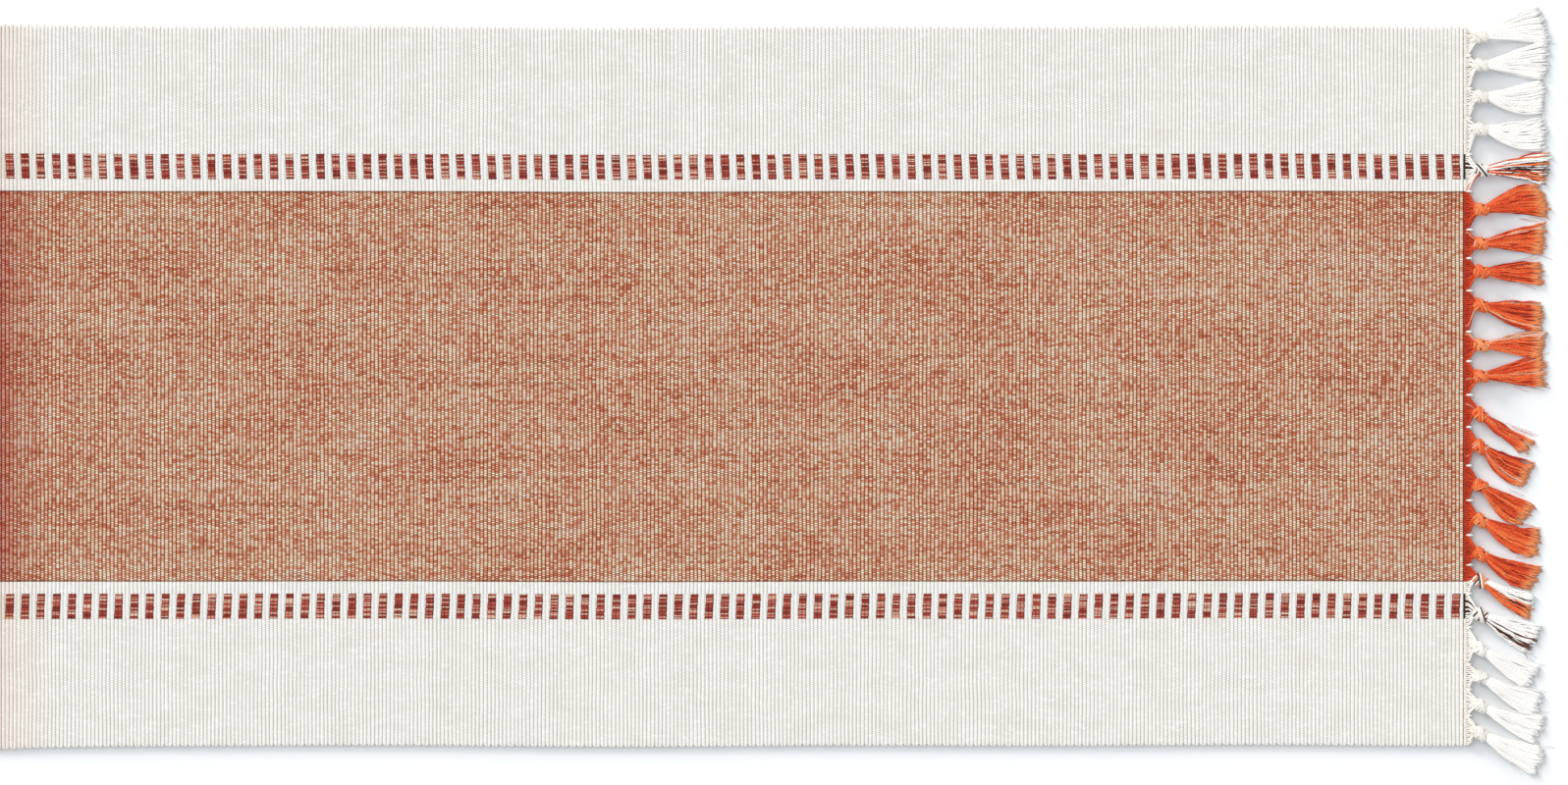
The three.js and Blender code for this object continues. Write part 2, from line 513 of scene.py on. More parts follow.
@dataclass(frozen=True)
class DashCloth(RibbedCloth):
    """White ribs crossed by short rust bars, two ribs in every four; the under face swaps them."""

    name: str = "rust dashed ribs"
    roughness: float = 0.85
    sheen: float = 0.08
    groove: float = 0.20
    relief: float = 0.4 * MM
    fold_shade_tint: Colour = (0.90, 0.80, 0.72)
    repeat: float = 4.0
    first: float = 1.0
    width: float = 2.14
    slant: float = 0.027
    band_yarns: float = 98.0
    picks: float = 2.2
    pick_shade_share: float = 0.62
    crown: Colour = (0.94, 0.92, 0.885)
    shade: Colour = (0.66, 0.635, 0.59)
    bar_shade: Colour = (0.105, 0.018, 0.013)
    dyes: Stops = (
        (0.00, (0.22, 0.022, 0.013)), (0.40, (0.44, 0.052, 0.028)), (0.64, (0.58, 0.105, 0.066)),
        (0.80, (0.84, 0.35, 0.235)), (1.00, (0.97, 0.74, 0.56)),
    )

    def dye(self, bench: NodeBench, laid: Laid) -> Value:
        """The colour of the two dashed bands.

        Args:
            bench: The material being made.
            laid: Where each point is in the weave.

        Returns:
            The colour.
        """
        rib, across, width = laid.rib, laid.across, self.width
        nudge = (bench.noise((rib, across), 0.7) - 0.5) * 0.4
        moved = rib + nudge + (abs(across) - self.band_yarns) * self.slant
        turned = laid.face.span(-0.5, 0.5, 1.0, 0.0) * 2.0
        at = (moved + (turned - self.first)) % self.repeat
        inside = at.span(0.0, 0.10) * at.span(width - 0.05, width + 0.05, 1.0, 0.0)
        # Painted shade inside the rust bars: dark lines along both sides of each bar and down its middle, where
        # the rib grooves run, and between the picks.
        edge = at.span(0.08, 0.42, 1.0, 0.0).over(at.span(width - 0.42, width - 0.08))
        middle = abs(at - width / 2).span(0.0, 0.22, 0.55, 0.0)
        bar = ((moved - self.first) / self.repeat).floor()
        pick = across * self.picks + bench.noise((rib * 0.5, across), 0.8, 1.0) * 0.8
        own = bench.grain(bar, pick.floor(), laid.face)
        streak = bench.noise((bar * 7.3, pick, rib * 0.4), 1.1, 2.0, 0.7)
        rust = bench.ramp((own * 0.80 + streak * 0.30).span(0.16, 1.00), self.dyes)
        seam = pick.off_middle().span(0.30, 0.5, 0.0, self.pick_shade_share)
        dark = (edge * 0.80).over(middle).over(seam)
        # Painted shade on the white ribs: the crown colour is mixed toward the shade colour in the grooves and
        # between the yarns.
        shaded = (laid.valley * 0.42 + (1.0 - laid.bead) * 0.18).held()
        white = bench.mix(shaded, self.crown, self.shade)
        return bench.mix(inside, white, bench.mix(dark, rust, self.bar_shade))


# Fringe finishes.  Each reads the "yarn" attribute: way along in millimetres, way round from 0
# to 1, and how near the cut end from 0 to 1; and "tone", the yarn's depth of colour, which on the web,
# the heading, the knots and the tail layers also carries painted shade and light.


@dataclass(frozen=True)
class FringeYarn:
    """Soft two-ply yarn of one colour family, with painted shade in the twist."""

    name: str
    stops: Stops
    tip: Colour
    tip_share: float
    crease_shade: Colour
    roughness: float = 0.74
    sheen: float = 0.3
    crease_shade_share: float = 0.42
    sheen_roughness: float = 0.45
    twist_mm: float = 3.4
    relief: float = 0.22 * MM

    def make(self) -> bpy.types.Material:
        """The material of one fringe yarn.

        Returns:
            The finished material.
        """
        bench = NodeBench(self.name, self.roughness, self.sheen, self.sheen_roughness)
        along, around, cut = bench.attribute("yarn")
        own = bench.attribute("tone")[0]
        ply = (along / self.twist_mm + around * 2.0).off_middle().span(0.30, 0.5)
        mottle = bench.noise((along * 0.16, around * 1.5, own * 37.0), 1.3, 3.0, 0.6)
        fibre = bench.noise((along * 0.5, around * 9.0, own * 11.0), 2.2)
        dyed = bench.ramp((own * 0.62 + (mottle - 0.22) * 0.62).held(), self.stops)
        # Painted shade: the colour is darkened toward the crease shade colour in the grooves of the ply twist,
        # less on yarns of higher tone.
        dark = ply * own.span(0.0, 0.8, self.crease_shade_share, self.crease_shade_share * 0.45)
        pale = cut.span(0.78, 1.0) * self.tip_share
        colour = bench.mix(pale, bench.mix(dark, dyed, self.crease_shade), self.tip)
        return bench.finish(colour, (1.0 - ply) + fibre * 0.5, self.relief)


WHITE_YARN = FringeYarn(
    "white fringe yarn",
    (
        (0.0, (0.72, 0.63, 0.53)), (0.26, (0.86, 0.80, 0.725)),
        (0.5, (0.965, 0.935, 0.89)), (0.75, (0.99, 0.965, 0.93)),
    ),
    (0.99, 0.975, 0.945), 0.8, (0.74, 0.66, 0.57), 0.8, 0.3, 0.36,
)
ORANGE_YARN = FringeYarn(
    "burnt orange fringe yarn",
    (
        (0.0, (0.22, 0.012, 0.005)), (0.20, (0.46, 0.034, 0.010)), (0.48, (0.76, 0.076, 0.017)),
        (0.78, (0.90, 0.165, 0.042)), (1.0, (0.95, 0.42, 0.175)),
    ),
    (0.95, 0.42, 0.165), 0.70, (0.20, 0.012, 0.005), 0.7, 0.03, 0.55,
)
DARK_YARN = FringeYarn(
    "dark brown fringe yarn",
    ((0.0, (0.022, 0.008, 0.006)), (0.6, (0.075, 0.018, 0.012)), (1.0, (0.22, 0.05, 0.03))),
    (0.30, 0.13, 0.09), 0.4, (0.012, 0.004, 0.003), 0.7, 0.2,
)
SALMON_YARN = FringeYarn(
    "salmon fringe yarn",
    ((0.0, (0.55, 0.16, 0.085)), (0.5, (0.74, 0.33, 0.20)), (1.0, (0.88, 0.60, 0.44))),
    (0.90, 0.68, 0.54), 0.6, (0.36, 0.09, 0.045), 0.7, 0.3,
)


# Mesh helpers


class MeshBuilder:
    """Gathers points and four-sided faces from several parts, and makes one mesh of them."""

    def __init__(self) -> None:
        """Starts empty."""
        self.parts: dict[str, list[np.ndarray]] = {}
        self.named: tuple[str, ...] = ()
        self.count = 0

    def add(
        self, points: np.ndarray, faces: np.ndarray, slot: int, uv: np.ndarray,
        soft: bool | np.ndarray = True, **corner: np.ndarray,
    ) -> None:
        """Adds one part.

        Args:
            points: Its points, in metres.
            faces: Its faces, as numbers of its own points.
            slot: The material slot.
            uv: A place on the bake map for each corner.
            soft: Whether each face is smooth.
            corner: Vector attributes for each corner, by name.
        """
        part = {
            "points": points, "faces": faces + self.count, "slot": np.full(len(faces), slot),
            "uv": uv.reshape(-1, 2), "soft": np.full(len(faces), True) & soft,
        }
        for name, value in (part | {key: own.reshape(-1, 3) for key, own in corner.items()}).items():
            self.parts.setdefault(name, []).append(value)
        self.named = tuple(corner)
        self.count += len(points)

    def build(self, name: str, materials: Iterable[bpy.types.Material]) -> bpy.types.Object:
        """Makes the object.

        Args:
            name: The piece's name.
            materials: Its material slots.

        Returns:
            The new object, linked to the scene.
        """
        whole = {key: np.concatenate(value) for key, value in self.parts.items()}
        faces = whole["faces"].astype(np.int32)
        mesh = bpy.data.meshes.new(name)
        mesh.vertices.add(len(whole["points"]))
        mesh.vertices.foreach_set("co", whole["points"].astype(np.float32).ravel())
        mesh.loops.add(faces.size)
        mesh.loops.foreach_set("vertex_index", faces.ravel())
        mesh.polygons.add(len(faces))
        mesh.polygons.foreach_set("loop_start", np.arange(0, faces.size, 4, dtype=np.int32))
        mesh.polygons.foreach_set("material_index", whole["slot"].astype(np.int32))
        for material in materials:
            mesh.materials.append(material)
        layer = mesh.uv_layers.new(name="OFBake", do_init=False)
        layer.uv.foreach_set("vector", whole["uv"].astype(np.float32).ravel())
        for key in self.named:
            kept = mesh.attributes.new(key, "FLOAT_VECTOR", "CORNER")
            kept.data.foreach_set("vector", whole[key].astype(np.float32).ravel())
        mesh.update(calc_edges=True)
        mesh.polygons.foreach_set("use_smooth", whole["soft"])
        piece = bpy.data.objects.new(name, mesh)
        bpy.context.scene.collection.objects.link(piece)
        return piece


def smooth(value: np.ndarray) -> np.ndarray:
    """The smooth step of a value held between 0 and 1."""
    held = np.clip(value, 0.0, 1.0)
    return held * held * (3 - 2 * held)


def wander(rng: np.random.Generator, length: int, knots: int) -> np.ndarray:
    """A smooth random walk from -1 to 1.

    Args:
        rng: The seeded generator.
        length: Samples wanted.
        knots: Turning points along it.

    Returns:
        The samples.
    """
    turns = rng.uniform(-1, 1, knots + 2)
    at = np.linspace(0, knots, length)
    low = np.floor(at).astype(int)
    return turns[low] + (turns[low + 1] - turns[low]) * smooth(at - low)


def between(first: np.ndarray, second: np.ndarray) -> np.ndarray:
    """The four-sided faces between two rows, or two stacks of rows, of point numbers."""
    return np.stack([first[..., :-1], first[..., 1:], second[..., 1:], second[..., :-1]], -1)


def hash_name(name: str) -> int:
    """A number from a name, the same on every run.

    Args:
        name: The name.

    Returns:
        The number.
    """
    value = 7
    for letter in name:
        value = (value * 31 + ord(letter)) % 1000003
    return value


def weave_at(y: float) -> Weave:
    """The kind of warp group at a place across the rug.

    Args:
        y: The place, in metres.

    Returns:
        The kind.
    """
    steps = ((BAND_EDGE, Weave.BORDER), (LINE_EDGE, Weave.DASH), (FIELD_EDGE, Weave.LINE))
    return next((weave for edge, weave in steps if abs(y) > edge), Weave.FIELD)


# The woven cloth


@dataclass
class Loom:
    """The gauge of the weave, and how far real ribs stray from it."""

    rib_count: int = 376
    half_length: float = 1220 * MM
    yarn_pitch: float = 1.87 * MM
    thickness: float = 3.0 * MM
    groove_depth: float = 0.85 * MM
    floor_gap: float = 0.05 * MM
    stray: float = 0.42 * MM
    drift: float = 0.9 * MM
    flare: float = 3.6 * MM
    flare_reach: float = 70 * MM
    half_width: float = 310 * MM
    columns: tuple[float, ...] = (0.0, 0.10, 0.28, 0.5, 0.72, 0.90)
    seed: int = 11
    rows: int = 30
    shared_ribs: int = 9
    grid: dict[End, np.ndarray] = field(default_factory=dict)

    def __post_init__(self) -> None:
        """Draws the random stray of every rib, for both halves."""
        at = np.arange(self.rib_count + 1) / self.shared_ribs
        low = at.astype(int)
        share = smooth(at - low)[:, None]
        for end in End:
            rng = np.random.default_rng(self.seed + end.value)
            own = rng.uniform(-1, 1, (self.rib_count + 1, self.rows))
            wide = rng.uniform(-1, 1, (self.rib_count // self.shared_ribs + 3, self.rows))
            self.grid[end] = 0.5 * own + 0.8 * (wide[low] * (1 - share) + wide[low + 1] * share)

    def pitch(self) -> float:
        """The distance from one rib to the next."""
        return self.half_length / self.rib_count

    def stray_at(self, end: End, rib: np.ndarray, y: np.ndarray) -> np.ndarray:
        """How far a rib strays along the rug.

        Args:
            end: The half of the rug.
            rib: Ribs from the fold, one per column.
            y: Places across the rug, one per row, in metres.

        Returns:
            Distances in metres, rows by columns.
        """
        grid = self.grid[end]
        across = np.clip((y + self.half_width) / (2 * self.half_width), 0, 0.9999) * (self.rows - 1)
        row = across.astype(int)
        share = smooth(across - row)[:, None]
        column = np.minimum(rib.astype(int), self.rib_count - 1)
        part = (rib - column)[None, :]
        low, high = (
            grid[column][:, at].T * (1 - part) + grid[column + 1][:, at].T * part for at in (row, row + 1)
        )
        held = smooth(rib / 3.0) * smooth((self.rib_count - rib) / 2.0)
        return self.stray * (low * (1 - share) + high * share) * held[None, :]

    def drift_at(self, x: np.ndarray, y: np.ndarray) -> np.ndarray:
        """How far the warp drifts sideways: slow waves, and a slight flare of the edges at the fold.

        Args:
            x: Places along the rug.
            y: Places across it.

        Returns:
            Distances in metres.
        """
        wave = 0.55 * np.sin(x * 7.1 + 0.8) + 0.45 * np.sin(x * 17.3 + 2.1)
        edge = np.clip(np.abs(y) / 0.3, 0, 1) ** 3 * np.sign(y)
        flare = self.flare * np.exp(-np.abs(x) / self.flare_reach) * (0.35 + 0.65 * (y < 0))
        calm = smooth((self.half_length - np.abs(x)) / 0.03)
        return self.drift * wave * calm * (0.5 + 0.5 * np.abs(edge)) + edge * flare


@dataclass
class WarpGroup:
    """One half-length of one group of warp yarns, woven into ribs."""

    loom: Loom
    weave: Weave
    side: str
    end: End
    row_step: float = 17 * MM
    selvedge: float = 1.6 * MM
    scallop: float = 0.85 * MM
    seam_gap: float = 0.3 * MM
    map_pad: float = 0.004
    map_cuts: int = 12

    def node(self) -> str:
        """The CAD node that this piece stands for."""
        return f"{self.side}{self.weave.value}_{self.end.name.lower()}"

    def edges(self) -> tuple[float, float]:
        """Finds the two long edges, each out to the middle of the seam gap beside it.

        Returns:
            The lower and the higher edge, in metres across the rug.
        """
        low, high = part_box(self.node())
        seam = self.seam_gap / 2
        return (low.y - seam * (low.y >= -SELVEDGE), high.y + seam * (high.y <= SELVEDGE))

    def rows(self) -> tuple[np.ndarray, np.ndarray, np.ndarray]:
        """Lays rows of points across the rug.

        Returns:
            Each row's place, how full the cloth is there, and how far the scallops reach.
        """
        y0, y1 = self.edges()
        y = np.linspace(y0, y1, max(2, round((y1 - y0) / self.row_step)) + 1)
        full, reach = np.ones_like(y), np.zeros_like(y)
        for edge, sign in ((y0, -1), (y1, 1)):
            if abs(edge) > SELVEDGE:
                turn = np.array([0.05, 0.2, 0.45, 1.0, 2.2])
                keep = np.abs(y - edge) > self.selvedge * 2.6
                y = np.concatenate([y[keep], edge - sign * turn * self.selvedge])
                full = np.concatenate([full[keep], np.sqrt(1 - np.clip(1 - turn, 0, 1) ** 2)])
                reach = np.concatenate([reach[keep], sign * np.clip(1.3 - turn, 0, 1)])
            else:
                y = np.append(y, edge - sign * self.seam_gap)
                full, reach = np.append(full, 1.0), np.append(reach, 0.0)
        order = np.argsort(y)
        return y[order], full[order], reach[order]

    def build(self, material: bpy.types.Material) -> bpy.types.Object:
        """Weaves the piece.

        Args:
            material: Its finish.

        Returns:
            The finished piece, in place.
        """
        loom, away = self.loom, self.end.value
        y, full, reach = self.rows()
        rib = (np.arange(loom.rib_count)[:, None] + np.array(loom.columns)[None, :]).ravel()
        rib = np.append(rib, float(loom.rib_count))
        x = rib * loom.pitch()
        across = y[:, None] + loom.drift_at(x[None, :] * away, y[:, None])
        lobes = self.scallop * np.abs(np.sin(np.pi * rib / 2)) * 2
        across = across + reach[:, None] * (lobes[None, :] - self.scallop)
        rng = np.random.default_rng(hash_name(self.node()))
        sink = np.abs(2 * (rib - np.floor(rib)) - 1) ** 2.4
        uneven = rng.uniform(-1, 1, loom.rib_count + 1)
        plump = 1 + 0.10 * np.interp(rib, np.arange(loom.rib_count + 1), uneven)
        swell = (loom.thickness - loom.floor_gap) / 2 - loom.groove_depth * sink * plump
        swell = swell[None, :] * full[:, None]
        middle = (loom.thickness + loom.floor_gap) / 2
        place = (x[None, :] + loom.stray_at(self.end, rib, y)) * away
        rows, columns = place.shape
        under = rows * columns
        points = np.stack([np.stack([place, across, middle + s], -1) for s in (swell, -swell)]).reshape(-1, 3)
        index = np.arange(under).reshape(rows, columns)
        top = between(index[:-1], index[1:]).reshape(-1, 4)
        sides = (
            (index[0] + under, index[0]), (index[-1], index[-1] + under),
            (index[:, 0], index[:, 0] + under), (index[:, -1] + under, index[:, -1]),
        )
        faces = np.concatenate([top, top[:, ::-1] + under, *(between(*side) for side in sides)])
        if self.end is End.LEFT:
            faces = faces[:, ::-1]
        rib_at = np.tile(rib * away, (rows, 1))
        lane = np.tile((y / loom.yarn_pitch)[:, None], (1, columns))
        upper = np.stack([rib_at, lane, np.ones_like(lane)], -1).reshape(-1, 3)
        weave = np.concatenate([upper, upper * np.array([1, 1, -1])])[faces]
        weave[2 * len(top):, :, 2] = 1
        builder = MeshBuilder()
        soft = np.arange(len(faces)) < 2 * len(top)
        builder.add(points, faces, 0, self.bake_places(len(top), faces, rib_at, lane), soft, weave=weave)
        piece = builder.build(f"{self.node()}_cloth", [material])
        self.join(piece)
        return piece

    def bake_places(self, sheet: int, faces: np.ndarray, rib: np.ndarray, lane: np.ndarray) -> np.ndarray:
        """Lays the two faces of the cloth out in stacked lengths, so that a square map shows them finely.

        Args:
            sheet: Faces on the upper side.
            faces: All faces.
            rib: Ribs at each point.
            lane: Yarns at each point.

        Returns:
            A place for each corner.
        """
        length, width = self.loom.half_length, float(np.ptp(lane)) * self.loom.yarn_pitch
        _, cuts, across = max(
            (min(1 / (across * length / cuts), 1 / (math.ceil(2 * cuts / across) * width)), cuts, across)
            for cuts in range(1, self.map_cuts + 1) for across in range(1, 2 * cuts + 1)
        )
        down = math.ceil(2 * cuts / across)
        per = -(-self.loom.rib_count // cuts)
        point_rib, point_lane = (np.tile(value.ravel(), 2)[faces] for value in (np.abs(rib), lane))
        cut = (point_rib.mean(1) // per).astype(int).clip(0, cuts - 1)
        under = np.zeros(len(faces), int)
        under[sheet:2 * sheet] = 1
        block = cut + under * cuts
        u = (point_rib - (cut * per)[:, None]) / per
        v = (point_lane - lane.min()) / max(float(np.ptp(lane)), 1e-9)
        inner = 1 - 2 * self.map_pad
        u = (block % across)[:, None] / across + (self.map_pad + u * inner) / across
        v = (block // across)[:, None] / down + (self.map_pad + v * inner) / down
        return np.stack([u, v], -1)

    def join(self, piece: bpy.types.Object) -> None:
        """Parents a right-end piece to the right half, leaves a left-end piece unparented with its transform
        baked into its mesh, and hides its node.

        Args:
            piece: The woven piece.
        """
        if self.end is End.RIGHT:
            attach(piece, "right_half")
        else:
            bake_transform(piece)
        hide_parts(self.node())


@dataclass
class WovenCloth:
    """The whole cloth: seven warp groups on each side of the fold."""

    loom: Loom = field(default_factory=Loom)
    stripes: tuple[tuple[str, Weave], ...] = (
        ("far_", Weave.BORDER), ("far_", Weave.DASH), ("far_", Weave.LINE), ("", Weave.FIELD),
        ("near_", Weave.LINE), ("near_", Weave.DASH), ("near_", Weave.BORDER),
    )
    pieces: dict[str, tuple[bpy.types.Object, float]] = field(default_factory=dict)

    def build(self) -> None:
        """Weaves and dresses every group."""
        white = WhiteCloth().make()
        finishes = {Weave.DASH: DashCloth().make(), Weave.FIELD: FieldCloth().make()}
        for end in End:
            for side, weave in self.stripes:
                group = WarpGroup(self.loom, weave, side, end)
                piece = group.build(finishes.get(weave, white))
                y0, y1 = group.edges()
                self.pieces[group.node()] = (piece, round(y1 - y0, 4))
                log.info("%s: %d faces", piece.name, len(piece.data.polygons))


# The fringe


@dataclass
class Strand:
    """One length of yarn: the line it follows and what it is made of."""

    line: np.ndarray
    radius: np.ndarray
    yarn: Yarn
    tone: float | np.ndarray
    sides: int = 6
    cut_from: float = 0.0
    cut_to: float = 0.0
    flat: float = 1.0


@dataclass
class StrandWinder:
    """Turns strands into closed tubes with rounded ends, in one mesh."""

    builder: MeshBuilder = field(default_factory=MeshBuilder)
    strips: int = 128
    wound: int = 0
    floor: float = 0.04 * MM
    tiny: float = 1e-12

    def rings(self, strand: Strand) -> np.ndarray:
        """The points of a strand: its rings, and then its two tips.

        Args:
            strand: What to wind.

        Returns:
            Points, none of them below the floor.
        """
        line = strand.line
        tangent = np.gradient(line, axis=0)
        tangent /= np.linalg.norm(tangent, axis=1)[:, None] + self.tiny
        normal = np.zeros_like(line)
        guide = np.array([0.0, 0.0, 1.0]) if abs(tangent[0, 2]) < 0.9 else np.array([0.0, 1.0, 0.0])
        for i, along in enumerate(tangent):
            guide = guide - along * (guide @ along)
            guide = guide / (np.linalg.norm(guide) + self.tiny)
            normal[i] = guide
        side = np.cross(tangent, normal)
        angle = (np.arange(strand.sides) / strand.sides * 2 * math.pi)[None, :, None]
        ring = np.cos(angle) * normal[:, None, :] * strand.flat + np.sin(angle) * side[:, None, :]
        points = line[:, None, :] + ring * strand.radius[:, None, None]
        tips = [line[i] + way * tangent[i] * strand.radius[i] * 0.5 for i, way in ((0, -1), (-1, 1))]
        points = np.concatenate([points.reshape(-1, 3), np.stack(tips)])
        points[:, 2] = np.maximum(points[:, 2], self.floor)
        return points

    def wind(self, strand: Strand) -> None:
        """Adds one strand.

        Args:
            strand: What to wind.
        """
        line, sides, count = strand.line, strand.sides, len(strand.line)
        index = np.arange(count * sides).reshape(count, sides)
        around = np.roll(index, -1, axis=1)
        tube = np.stack([index[:-1], around[:-1], around[1:], index[1:]], -1).reshape(-1, 4)
        half = np.arange(0, sides, 2)
        one, two = (half + 1) % sides, (half + 2) % sides
        head, tail = np.full(len(half), count * sides), np.full(len(half), count * sides + 1)
        start = np.stack([head, index[0][two], index[0][one], index[0][half]], -1)
        stop = np.stack([tail, index[-1][half], index[-1][one], index[-1][two]], -1)
        faces = np.concatenate([tube, start, stop])
        way = np.concatenate([[0.0], np.cumsum(np.linalg.norm(np.diff(line, axis=0), axis=1))])
        share = way / max(way[-1], 1e-9)
        cut = strand.cut_from + (strand.cut_to - strand.cut_from) * share
        ring = np.concatenate([np.repeat(np.arange(count), sides), [0, count - 1]])[faces]
        turn = np.concatenate([np.tile(np.arange(sides) / sides, count), [0.0, 0.0]])[faces]
        wrapped = turn.max(1) - turn.min(1) > 0.5
        turn = np.where(wrapped[:, None] & (turn < 0.5), turn + 1.0, turn)
        depth = np.broadcast_to(np.asarray(strand.tone, float), (count,))
        yarn = np.stack([way[ring] * 1000 + depth[0] * 13, turn, cut[ring]], -1)
        tone = np.repeat(depth[ring][..., None], 3, axis=-1)
        strip = self.wound % self.strips
        v = (strip + 0.1 + 0.8 * np.clip(turn, 0, 1)) / self.strips
        uv = np.stack([0.01 + 0.98 * share[ring], v], -1)
        self.builder.add(self.rings(strand), faces, strand.yarn.value, uv, yarn=yarn, tone=tone)
        self.wound += 1


Drawn = list[tuple[Yarn, float]]


@dataclass
class Tassel:
    """One gathered bundle of warp ends: web, overhand knot and loose tail."""

    loom: Loom
    end: End
    number: int
    shape: TailShape
    tail_length: float
    tail_width: float
    bow: float
    mingle: Mingle
    gather: tuple[float, float]
    yarn_radius: float = 0.70 * MM
    web_radius: float = 0.72 * MM
    web_straight: float = 4.6 * MM
    knot_length: float = 13.8 * MM
    knot_width: float = 12.6 * MM
    knot_height: float = 9.2 * MM
    waist_width: float = 6.6 * MM
    pick_radius: float = 1.22 * MM
    pick_rise: float = 1.35 * MM
    carried_radius: float = 0.8 * MM
    hair_radius: float = 0.13 * MM
    fray_radii: tuple[float, ...] = (0.30 * MM, 0.24 * MM, 0.10 * MM)
    yarn_rest: float = 0.74 * MM
    dark_knot_share: float = 0.74
    dark_tail_share: float = 0.72
    dark_share: float = 0.24
    salmon_share: float = 0.03
    clumps: int = 8
    steps: int = 19
    winder: StrandWinder = field(default_factory=StrandWinder)
    piece: Optional[bpy.types.Object] = None

    def __post_init__(self) -> None:
        """Finds the throat where the tassel starts, and the way its tail lies from outward."""
        self.node = f"tassel_{self.end.name.lower()}_{self.number:02d}"
        self.rng = np.random.default_rng(hash_name(self.node) + 5)
        self.pivot = Vector(next(j for j in frame["joints"] if j["child"] == self.node)["pos_m"])
        points = np.array([v.co for v in frame["nodes"][self.node].data.vertices])
        reach = np.hypot(points[:, 0] - self.pivot.x, points[:, 1] - self.pivot.y)
        far = points[reach > reach.max() - 4 * MM].mean(0)
        away = np.array([far[0] - self.pivot.x, far[1] - self.pivot.y]) * self.end.value
        self.swing = math.atan2(away[1], away[0])
        middle = sum(self.gather) / 2
        kind = weave_at(middle)
        side = "" if kind is Weave.FIELD else "far_" if middle > 0 else "near_"
        self.stripe = f"{side}{kind.value}_{self.end.name.lower()}"

    def yarn_at(self, y: float) -> tuple[Yarn, float]:
        """The yarn that leaves the cloth at a place across the rug.

        Args:
            y: The place, in metres.

        Returns:
            The yarn and its tone.
        """
        kind, roll = weave_at(y), self.rng.random()
        if kind is Weave.DASH and roll >= 1 - self.dark_share:
            return Yarn.DARK, self.rng.uniform(0.1, 1.0)
        if kind is not Weave.FIELD:
            return Yarn.WHITE, self.rng.uniform(0.3, 1.0)
        if roll < self.salmon_share:
            return Yarn.SALMON, self.rng.uniform(0.3, 1.0)
        return Yarn.ORANGE, self.rng.uniform(0.0, 1.0) ** 0.9

    def to_world(self, local: np.ndarray) -> np.ndarray:
        """Turns points measured from the throat into the rug's own frame.

        Args:
            local: Points outward, sideways and up from the throat.

        Returns:
            The same points in the rug's frame.
        """
        turn = self.swing + (math.pi if self.end is End.LEFT else 0.0)
        c, s = math.cos(turn), math.sin(turn)
        x = self.pivot.x + local[:, 0] * c - local[:, 1] * s
        y = self.pivot.y + local[:, 0] * s + local[:, 1] * c
        return np.stack([x, y, local[:, 2]], -1)

    def build(self, yarns: list[bpy.types.Material]) -> None:
        """Makes the whole tassel.

        Args:
            yarns: The fringe materials, in the order of Yarn.
        """
        low, high = self.gather
        count = max(8, round((high - low) / (self.loom.yarn_pitch * 0.92)))
        places = np.linspace(low, high, count * 2 + 1)[1::2]
        drawn = [self.yarn_at(float(y)) for y in places]
        self.lay_heading()
        self.lay_web(places, drawn)
        bound, loose = self.sort_yarns(drawn)
        self.tie_knot(bound)
        self.comb_tail(loose)
        self.piece = self.winder.builder.build(f"{self.node}_yarn", yarns)
        start = (self.loom.half_length * self.end.value, self.pivot.y, 0)
        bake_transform(self.piece, self.end.half(), self.node, start=start, end=(self.pivot.x, self.pivot.y, 0))
        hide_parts(self.node)
        row = next(s for s in frame["record"]["subparts"] if s["node"] == self.node)
        log.info("%s: %d faces", self.piece.name, len(self.piece.data.polygons))

    def sort_yarns(self, drawn: Drawn) -> tuple[Drawn, Drawn]:
        """Shares a tassel's yarns out between its knot and its tail.

        Args:
            drawn: The yarns that leave the cloth, from low to high across the rug.

        Returns:
            The knot's yarns, and the tail's from one side to the other.
        """
        if self.mingle is Mingle.PLAIN:
            return drawn, drawn
        count = 26
        share = (np.arange(count) + 0.5) / count
        rolls = list(zip(1 - share if self.end is End.LEFT else share, self.rng.random(count)))
        white, orange = (Yarn.WHITE, 0.8), (Yarn.ORANGE, 0.75)
        dark, rusty = (Yarn.DARK, 0.35), (Yarn.DARK, 1.0)
        if self.mingle is Mingle.MIXED:
            loose = [orange if r < 0.46 else white if r < 0.80 else dark for _, r in rolls]
            return [white, dark, white, dark, white], loose
        if self.mingle is Mingle.PARTED:
            loose = [
                dark if r > 0.80 and a > 0.30 else orange if a < 0.47 or r < 0.08 else white for a, r in rolls
            ]
            return [white, orange, dark, white, orange], loose
        loose = [
            white if a > 0.45 and r < 0.93 or r < 0.40 else dark if r < 0.76 else rusty for a, r in rolls
        ]
        return [white, dark, white, white, rusty], loose

    def lay_heading(self) -> None:
        """Lays the last hard-beaten pick along the woven end, and the cream loop at the notch."""
        low, high = self.gather
        edge, rng = self.loom.half_length, self.rng
        steps = max(4, round((high - low) / (1.5 * MM)))
        edges = (-BAND_EDGE, -LINE_EDGE, -FIELD_EDGE, FIELD_EDGE, LINE_EDGE, BAND_EDGE)
        cuts = [c for c in edges if low + MM < c < high - MM]
        for a, b in zip([low, *cuts], [*cuts, high]):
            kinds = {Weave.DASH: Yarn.DARK, Weave.FIELD: Yarn.ORANGE}
            kind = kinds.get(weave_at((a + b) / 2), Yarn.WHITE)
            points = max(4, round((b - a) / (high - low) * steps) + 1)
            x = edge + self.pick_rise + rng.uniform(-0.12, 0.12, points) * MM
            y, z = np.linspace(a, b, points), np.full(points, self.pick_rise)
            line = np.stack([x * self.end.value, y, z], -1)
            radius = self.pick_radius * (1 + 0.10 * rng.uniform(-1, 1, points))
